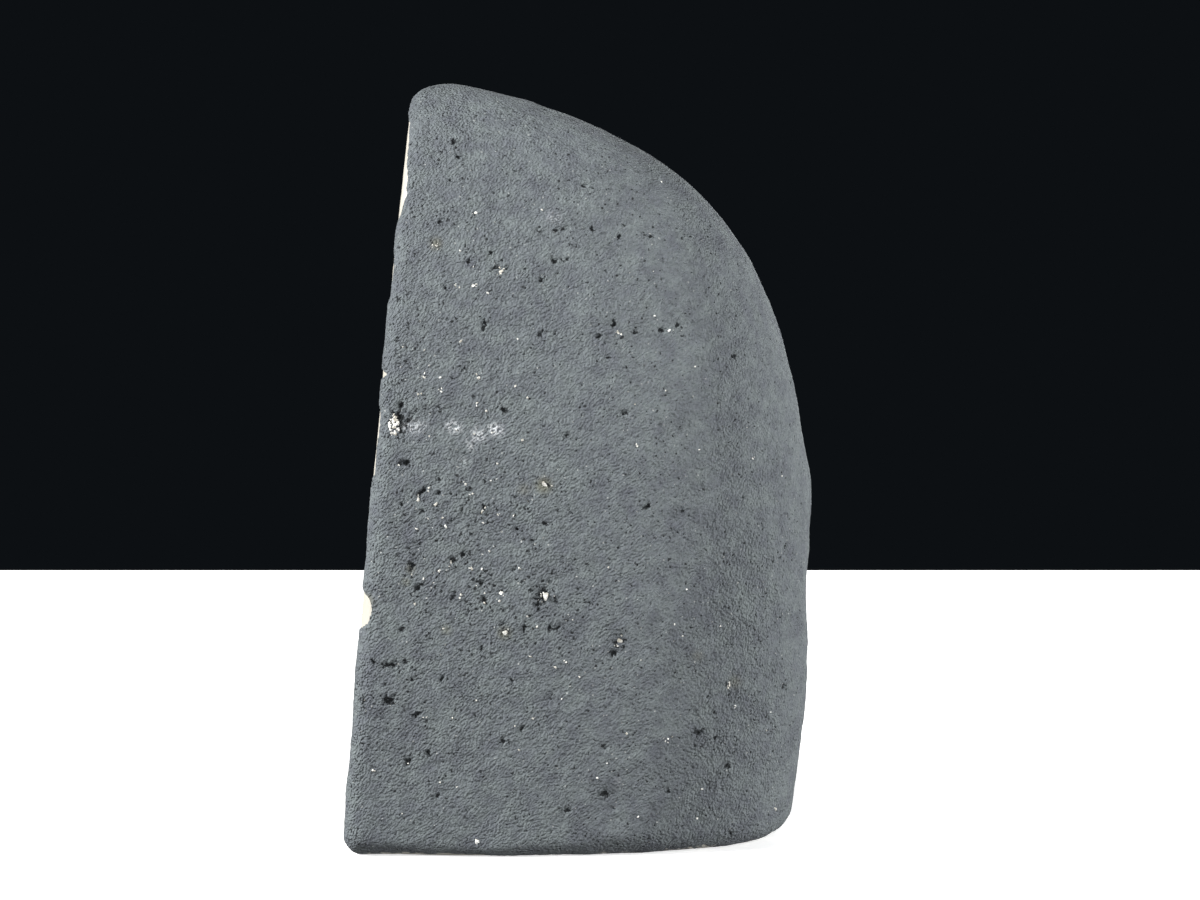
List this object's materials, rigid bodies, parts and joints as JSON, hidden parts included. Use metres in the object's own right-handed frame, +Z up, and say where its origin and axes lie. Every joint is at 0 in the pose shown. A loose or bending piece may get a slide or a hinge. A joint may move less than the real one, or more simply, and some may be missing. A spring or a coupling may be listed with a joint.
{
  "type": "massage stone",
  "caption": "Free-standing stone with a flat foot and one flat sawn side, its rounded surfaces under a rough charcoal coat with pale grains showing through.",
  "frame": {"origin": "on the table, below the middle of the stone's overall box", "axes": "+Z up, the stone's height; -X towards the flat sawn side and +X towards the rounded end; -Y towards the front"},
  "size_m": [0.0736, 0.0576, 0.12],
  "materials": {
    "pale_stone": "satin",
    "charcoal_coat": "matte",
    "pale_grain": "matte"
  },
  "bodies": {
    "root": {"stone_core": "pale_stone", "charcoal_coat": "charcoal_coat", "pale_grain_01": "pale_grain", "pale_grain_02": "pale_grain", "pale_grain_03": "pale_grain", "pale_grain_04": "pale_grain", "pale_grain_05": "pale_grain", "pale_grain_06": "pale_grain", "pale_grain_07": "pale_grain", "pale_grain_08": "pale_grain", "pale_grain_09": "pale_grain", "pale_grain_10": "pale_grain", "pale_grain_11": "pale_grain", "pale_grain_12": "pale_grain", "pale_grain_13": "pale_grain", "pale_grain_14": "pale_grain", "pale_grain_15": "pale_grain", "pale_grain_16": "pale_grain", "pale_grain_17": "pale_grain", "pale_grain_18": "pale_grain", "pale_grain_19": "pale_grain", "pale_grain_20": "pale_grain", "pale_grain_21": "pale_grain", "pale_grain_22": "pale_grain", "pale_grain_23": "pale_grain", "pale_grain_24": "pale_grain"}
  },
  "joints": []
}
